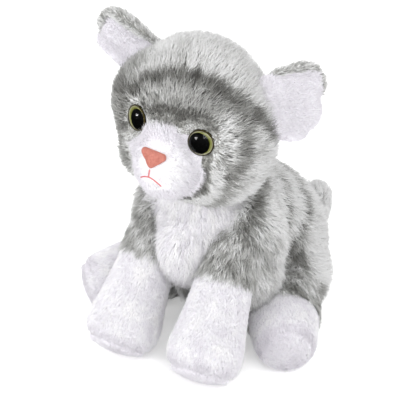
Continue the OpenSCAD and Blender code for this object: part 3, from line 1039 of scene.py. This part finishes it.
def set_material(node, mat):
    mesh = frame["nodes"][node].data
    mesh.materials.clear()
    mesh.materials.append(mat)


LATHE_STEPS = 64


def disc_frame(way, across):
    """Turns x along across, as nearly as it goes, and z along way."""
    x = unit(across - way * (across @ way))
    return np.stack([x, np.cross(way, x), way], 1)


def lathe(name, profile, turned, centre, materials, stretch=1.0):
    """A closed round piece from rings of (radius, height); the first and last are points."""
    steps = LATHE_STEPS
    angles = np.linspace(0, 2 * np.pi, steps, endpoint=False)
    rings = [np.stack([r * stretch * np.cos(angles), r * np.sin(angles), np.full(steps, h)], 1)
             for r, h in profile[1:-1]]
    points = np.vstack([[0, 0, profile[0][1]], *rings, [0, 0, profile[-1][1]]])
    last = len(points) - 1
    around = [(k, (k + 1) % steps) for k in range(steps)]
    faces = [(0, 1 + b, 1 + a) for a, b in around]
    for i in range(len(rings) - 1):
        low, high = 1 + i * steps, 1 + (i + 1) * steps
        faces += [(low + a, low + b, high + b, high + a) for a, b in around]
    faces += [(1 + (len(rings) - 1) * steps + a, 1 + (len(rings) - 1) * steps + b, last)
              for a, b in around]
    obj = mesh_object(name, points @ turned.T + centre, faces)
    for mat in materials:
        obj.data.materials.append(mat)
    return obj


def face_part(obj, slot, *nodes):
    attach(obj, "head")
    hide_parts(*nodes)


LENS_R, LENS_RISE, LENS_BASE = 6.0, 3.5, 0.75
# The iris as (radius, height) of its back and of its front, and the radii where its colour changes
IRIS_BOTTOM = [(0, 0.02), (5.85, 0.02)]
IRIS_RINGS = [(0, 0.15), (3.2, 0.2), (4.3, 0.28), (5.1, 0.45), (5.4, 0.6), (5.85, 0.72)]
IRIS_ZONES = [4.3, 5.1, 5.4]
IRIS_COLOURS = [
    ("iris_inner", (140, 144, 50), (116, 120, 36), (172, 176, 80)),
    ("iris_middle", (205, 206, 112), (180, 184, 84), (228, 230, 150)),
    ("iris_edge", (250, 246, 214), (236, 232, 180), (255, 252, 232)),
    ("iris_rim", (84, 70, 24), (58, 50, 18), (110, 96, 40)),
]
PUPIL_R, PUPIL_SHIFT = 4.9, 1.0  # the pupil's radius, and how far it sits towards the nose


def make_eye(name, clear, irises, black):
    centre, way = EYES[name]
    towards_nose = from_head(NOSE_P)[None][0] - centre
    turned = disc_frame(way, towards_nose)
    sphere_r = (LENS_R ** 2 + (LENS_RISE - LENS_BASE) ** 2) / (2 * (LENS_RISE - LENS_BASE))
    edge = math.asin(LENS_R / sphere_r)
    dome = [(sphere_r * math.sin(a), LENS_RISE - sphere_r + sphere_r * math.cos(a))
            for a in np.linspace(edge, 0, 14)]
    lens = lathe(f"{name}_eye_dome", [(0, LENS_BASE), (LENS_R - 0.1, LENS_BASE), *dome], turned,
                 centre, [clear])
    face_part(lens, "eye_clear", f"{name}_eye_lens")
    iris = lathe(f"{name}_eye_iris_ring", IRIS_BOTTOM + IRIS_RINGS[::-1], turned, centre, irises)
    middles = np.array([f.center for f in iris.data.polygons]) / MM - centre
    radius = np.linalg.norm(middles - (middles @ way)[:, None] * way, axis=1)
    zone = np.searchsorted(IRIS_ZONES, radius)
    iris.data.polygons.foreach_set("material_index", zone.astype(np.int32))
    face_part(iris, "eye_iris", f"{name}_eye_iris")
    pupil_centre = centre + turned @ vec(PUPIL_SHIFT, 0, 0)
    pupil = [(0, 0.25), (PUPIL_R - 0.15, 0.25), (PUPIL_R, 0.45), (PUPIL_R - 0.4, 0.62),
             (2, 0.68), (0, 0.70)]
    face_part(lathe(f"{name}_eye_pupil_disc", pupil, turned, pupil_centre, [black], 0.97),
              "eye_black", f"{name}_eye_pupil")


# The nose's outline and middle, and its nostrils, as (down, across)
NOSE_SIDES = [((-1.7, 4.6), (-1.7, -4.6)), ((-1.7, -4.6), (2.7, 0)), ((2.7, 0), (-1.7, 4.6)),
              ((-1.2, 2.5), (-1.2, -2.5)), ((-1.5, 0), (2, 0))]
NOSTRILS = [(0.7, 3.1), (0.7, -3.1)]
NOSE_PAD = (1.9, 1.9, 1.5)  # radii of the balls along those lines


def make_nose(pink):
    turned = HEAD_TURN @ disc_frame(NOSE_DIR, vec(0, 0, -1))
    centre = from_head(NOSE_P + 0.7 * NOSE_DIR)
    balls = [ball((*place, 0), NOSE_PAD) for start, end in NOSE_SIDES
             for place in np.linspace(start, end, 9)]
    obj = skin("nose_pad", balls, voxel=0.45, smoothing=4)
    co = coords(obj)
    for down, across in NOSTRILS:
        away = np.hypot((co[:, 0] - down) / 1.3, (co[:, 1] - across) / 0.8)
        co[:, 2] -= 1.1 * np.exp(-away ** 2) * (co[:, 2] > 0)
    set_coords(obj, (co @ turned.T + centre) * MM)
    obj.data.polygons.foreach_set("use_smooth", [True] * len(obj.data.polygons))
    obj.data.materials.clear()
    obj.data.materials.append(pink)
    face_part(obj, "nose_pink", "nose")


def tube(name, paths, radius, mat):
    """Round thread along each path, with rounded ends."""
    sides = 8
    points, faces = [], []
    for path in paths:
        path = np.asarray(path, float)
        ways = unit(np.gradient(path, axis=0))
        centres = [path[0] - 0.6 * radius * ways[0], *path, path[-1] + 0.6 * radius * ways[-1]]
        ways = [ways[0], *ways, ways[-1]]
        radii = [0.6 * radius, *[radius] * len(path), 0.6 * radius]
        start = len(points)
        for c, way, r in zip(centres, ways, radii):
            u = unit(np.cross(way, vec(0, -1, 0.3)))
            v = np.cross(way, u)
            points += [c + r * (math.cos(a) * u + math.sin(a) * v)
                       for a in np.linspace(0, 2 * np.pi, sides, endpoint=False)]
        for i in range(len(centres) - 1):
            for k in range(sides):
                a, b = start + i * sides + k, start + i * sides + (k + 1) % sides
                faces.append((a, b, b + sides, a + sides))
        faces.append(tuple(start + k for k in reversed(range(sides))))
        end = start + (len(centres) - 1) * sides
        faces.append(tuple(end + k for k in range(sides)))
    obj = mesh_object(name, points, faces)
    obj.data.materials.append(mat)
    return obj


def smooth_path(path):
    """More points along a path of a few, by a curve through them."""
    path = np.asarray(path, float)
    t = np.linspace(0, 1, len(path))
    fine = np.linspace(0, 1, 12)
    degree = min(len(path) - 1, 3)
    return np.stack([np.polyval(np.polyfit(t, path[:, i], degree), fine) for i in range(2)], 1)


def make_mouth(thread):
    lifted = [[from_head(on_muzzle(x, z, 1.5 - 0.16 * (z - MOUTH[0][0][1])))
               for x, z in smooth_path(path)] for path in MOUTH]
    face_part(tube("mouth_thread", lifted, 0.32, thread), "mouth_thread", "mouth_stitching")


def make_face():
    clear = new_material("eye_clear", (2, 2, 2), 0.14, 1.0, Alpha=0.3)
    irises = [add_noise(new_material(name, middle, 0.3), 2500, dark, light)
              for name, middle, dark, light in IRIS_COLOURS]
    black = add_noise(new_material("eye_black", (6, 6, 6), 0.3, 0.08), 900, (4, 4, 4), (9, 9, 9))
    washer = add_noise(new_material("washer_plastic", (225, 225, 222), 0.45), 600,
                       (214, 214, 210), (232, 232, 230), 0.2)
    pink = add_noise(new_material("nose_pink", (168, 104, 92), 0.6, 0.2), 1400, (157, 93, 82),
                     (180, 116, 103), 0.25)
    thread = add_noise(new_material("mouth_thread", (190, 104, 106), 0.8), 3000, (172, 88, 92),
                       (206, 122, 122), 0.6)
    for name in SIDES:
        make_eye(name, clear, irises, black)
        set_material(f"{name}_eye_shank", black)
        set_material(f"{name}_eye_washer", washer)
    make_nose(pink)
    make_mouth(thread)
    set_material("nose_washer", washer)


# ---- Camera, lights and floor ----

def make_camera():
    azimuth, elevation = math.radians(CAMERA_AZIMUTH), math.radians(CAMERA_ELEVATION)
    away = vec(math.sin(azimuth) * math.cos(elevation), -math.cos(azimuth) * math.cos(elevation),
               math.sin(elevation))
    camera = bpy.data.objects.new("camera", bpy.data.cameras.new("camera"))
    SCENE.collection.objects.link(camera)
    camera.location = Vector((vec(*CAMERA_TARGET) + away * CAMERA_DISTANCE) * MM)
    camera.rotation_euler = Vector(-away).to_track_quat("-Z", "Y").to_euler()
    camera.data.lens = CAMERA_LENS
    camera.data.sensor_width = 36
    camera.data.clip_start = 0.01
    SCENE.camera = camera


# The room and the floor are darker in glossy reflections, so that the eyes stay black
WORLD_STRENGTH, WORLD_IN_GLOSS = 1.08, 0.12
FLOOR_GLOW, FLOOR_GLOW_IN_GLOSS = 0.3, 0.0
FLOOR_HALF = 3000
LIGHTS_AIM = (0, 0, 0.06)
LIGHTS = [  # name, place and size in metres, and power
    ("key", (0.75, -0.8, 1.1), 0.9, 10),
    ("fill", (-0.45, -0.95, 0.5), 0.22, 3.5),
    ("back", (0.0, 0.9, 1.0), 0.8, 4),
]


def by_gloss(tree, plain, in_gloss):
    """A number that is plain for most rays and in_gloss for glossy ones."""
    rays = tree.nodes.new("ShaderNodeLightPath")
    number = tree.nodes.new("ShaderNodeMapRange")
    number.inputs["To Min"].default_value = plain
    number.inputs["To Max"].default_value = in_gloss
    tree.links.new(rays.outputs["Is Glossy Ray"], number.inputs["Value"])
    return number.outputs["Result"]


def make_lights():
    world = bpy.data.worlds.new("studio")
    SCENE.world = world
    world.use_nodes = True
    tree = world.node_tree
    background = tree.nodes["Background"]
    background.inputs["Color"].default_value = (1, 1, 1, 1)
    tree.links.new(by_gloss(tree, WORLD_STRENGTH, WORLD_IN_GLOSS), background.inputs["Strength"])
    for name, place, size, power in LIGHTS:
        light = bpy.data.objects.new(name, bpy.data.lights.new(name, "AREA"))
        SCENE.collection.objects.link(light)
        light.location = place
        towards = Vector(LIGHTS_AIM) - Vector(place)
        light.rotation_euler = towards.to_track_quat("-Z", "Y").to_euler()
        light.data.size = size
        light.data.energy = power
    SCENE.view_settings.view_transform = "Standard"


def make_floor():
    corners = [(-1, -1, 0), (1, -1, 0), (1, 1, 0), (-1, 1, 0)]
    floor = mesh_object("floor", vec(*corners) * FLOOR_HALF, [(0, 1, 2, 3)])
    paper = add_noise(new_material("floor_paper", (250, 250, 250), 0.9, 0.1), 40, (249, 249, 249),
                      (251, 251, 251))
    tree = paper.node_tree
    shader = tree.nodes["Principled BSDF"].inputs
    shader["Emission Color"].default_value = (1, 1, 1, 1)
    dim = tree.nodes.new("ShaderNodeMix")
    dim.data_type = "RGBA"
    dim.inputs["B"].default_value = (0, 0, 0, 1)
    tree.links.new(shader["Base Color"].links[0].from_socket, dim.inputs["A"])
    tree.links.new(by_gloss(tree, 0, 1), dim.inputs["Factor"])
    tree.links.new(dim.outputs["Result"], shader["Base Color"])
    tree.links.new(by_gloss(tree, FLOOR_GLOW, FLOOR_GLOW_IN_GLOSS), shader["Emission Strength"])
    floor.data.materials.append(paper)


make_camera()
make_torso()
make_head()
for name, side in SIDES.items():
    make_ear(name, side)
    make_leg(name, "foreleg", side)
    make_leg(name, "hindleg", side)
make_tail()
make_face()
make_lights()
make_floor()
